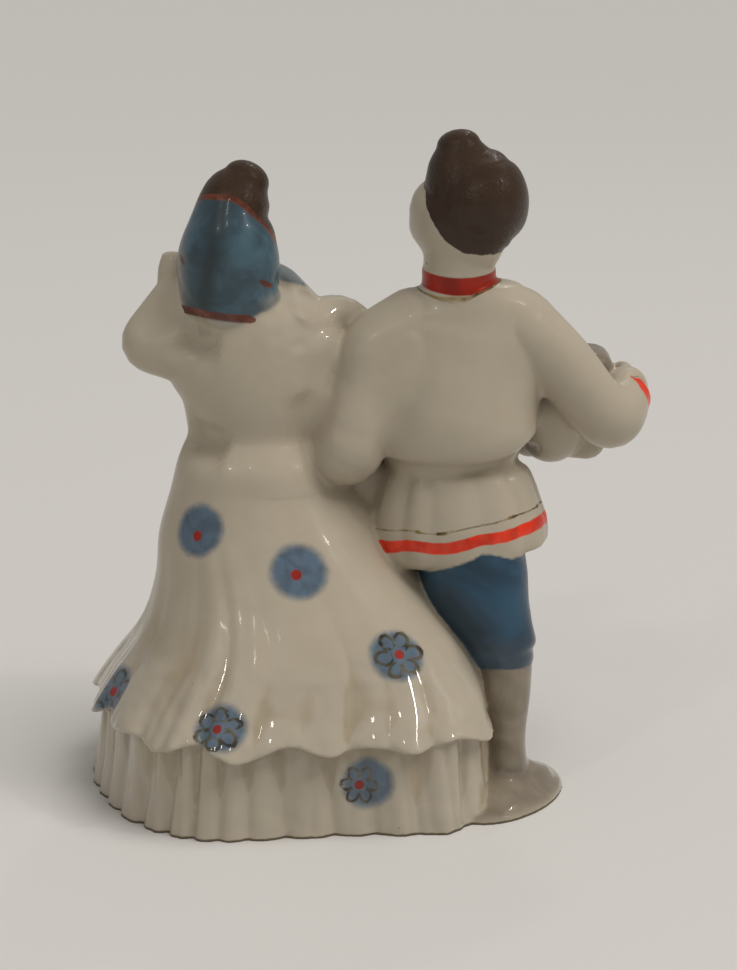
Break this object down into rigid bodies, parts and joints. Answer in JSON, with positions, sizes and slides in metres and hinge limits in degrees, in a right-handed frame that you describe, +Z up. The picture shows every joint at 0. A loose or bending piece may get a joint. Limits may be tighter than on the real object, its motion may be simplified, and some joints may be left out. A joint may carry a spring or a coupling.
{
  "type": "dancing couple figurine",
  "caption": "Glazed porcelain figurine of a folk couple dancing, the woman in a long flounced skirt, the man playing an accordion, cast in one piece with a low base.",
  "frame": {"origin": "middle of the footprint, on the flat underside", "axes": "+Z up, +Y the way the dancers face, +X from the woman to the man"},
  "size_m": [0.1239, 0.0916, 0.1441],
  "materials": {
    "glazed_porcelain": "warm white glaze over underglaze blue, brown, red and grey painting, with thin gold lines"
  },
  "bodies": {
    "root": {"dancing_couple": "glazed_porcelain"}
  },
  "joints": []
}
